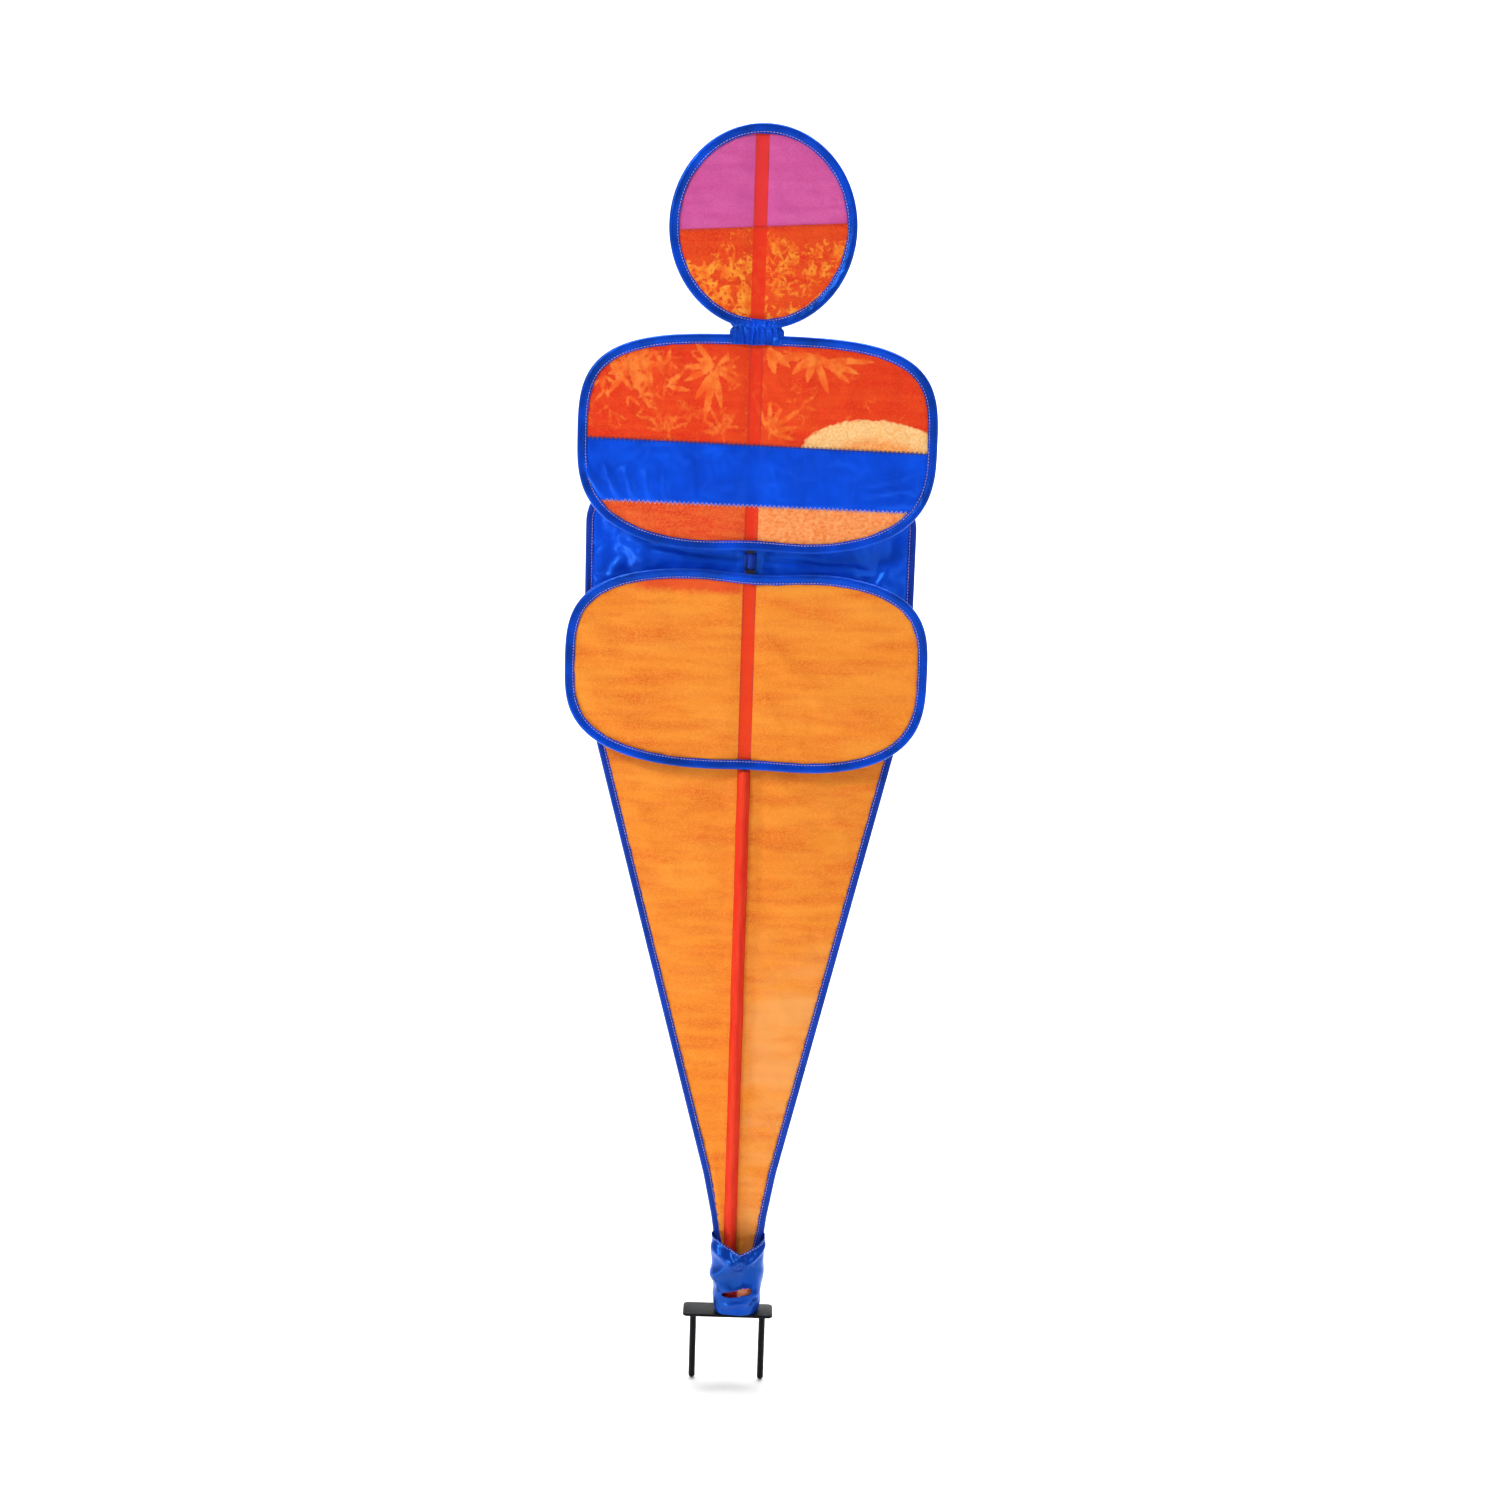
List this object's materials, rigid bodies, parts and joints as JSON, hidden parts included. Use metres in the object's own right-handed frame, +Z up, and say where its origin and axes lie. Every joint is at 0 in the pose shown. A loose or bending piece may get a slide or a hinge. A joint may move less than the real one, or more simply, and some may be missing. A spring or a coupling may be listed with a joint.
{
  "type": "figure windsock with ground-stake pole",
  "caption": "Flat figure-shaped garden windsock of sprung fabric hoops on a pole that stands in a two-pronged ground stake.",
  "frame": {"origin": "Ground level on the pole's axis: the middle of the underside of the stake's crossbar.", "axes": "+Z up along the pole's axis, +X to the figure's side along the crossbar, -Y towards the front of the hoops."},
  "size_m": [0.36, 0.0448, 1.2833],
  "materials": {
    "stake_steel": "satin black powder coat",
    "pole_rod": "black pultruded glass fibre",
    "ferrule_steel": "drawn steel tube",
    "vinyl_cap": "matt dipped vinyl",
    "spring_wire": "spring steel wire",
    "blue_satin": "royal blue polyester satin",
    "red_tape": "red polyester sleeve tape",
    "elastic": "dark ribbed elastic",
    "pink_print": "pink polyester",
    "leaf_print": null,
    "sand_print": null
  },
  "bodies": {
    "root": {"stake_crossbar": "stake_steel", "stake_prong_left": "stake_steel", "stake_prong_right": "stake_steel", "stake_socket": "stake_steel"},
    "pole": {"pole_lower_section": "pole_rod", "pole_middle_section": "pole_rod", "pole_upper_section": "pole_rod", "pole_lower_ferrule": "ferrule_steel", "pole_middle_ferrule": "ferrule_steel", "pole_top_cap": "vinyl_cap"},
    "body": {"body_edge_binding": "blue_satin", "body_edge_wire": "spring_wire", "waist_panel": "blue_satin", "leg_panel": "sand_print", "leg_pole_sleeve": "red_tape", "waist_pole_sleeve": "blue_satin", "ankle_cuff": "blue_satin"},
    "hips": {"hip_binding": "blue_satin", "hip_hoop_wire": "spring_wire", "hip_wire_crimp": "spring_wire", "hip_panel": "sand_print", "hip_pole_sleeve": "red_tape", "hip_lower_tie": "elastic", "hip_upper_tie": "elastic"},
    "bust": {"bust_binding": "blue_satin", "bust_hoop_wire": "spring_wire", "bust_wire_crimp": "spring_wire", "bust_lower_panel": "sand_print", "bust_band": "blue_satin", "bust_upper_panel": "leaf_print", "bust_pole_sleeve": "red_tape", "bust_lower_tie": "elastic", "neck_gather": "blue_satin"},
    "head": {"head_binding": "blue_satin", "head_hoop_wire": "spring_wire", "head_wire_crimp": "spring_wire", "head_lower_panel": "leaf_print", "head_upper_panel": "pink_print", "head_pole_sleeve": "red_tape", "head_sleeve_end": "red_tape"}
  },
  "joints": [
    {"name": "pole_lift", "type": "slide", "parent": "root", "child": "pole", "axis": [0, 0, 1], "range_m": [0, 0.05]},
    {"name": "sock_swivel", "type": "hinge", "parent": "pole", "child": "body", "pos_m": [0, 0, 0.3], "axis": [0, 0, 1], "continuous": true},
    {"name": "hip_twist", "type": "hinge", "parent": "body", "child": "hips", "pos_m": [0, 0, 0.682], "axis": [0, 0, 1], "range_deg": [-8, 8]},
    {"name": "bust_twist", "type": "hinge", "parent": "body", "child": "bust", "pos_m": [0, 0, 0.9025], "axis": [0, 0, 1], "range_deg": [-8, 8]},
    {"name": "head_twist", "type": "hinge", "parent": "bust", "child": "head", "pos_m": [0, 0, 1.1115], "axis": [0, 0, 1], "range_deg": [-45, 45]}
  ]
}
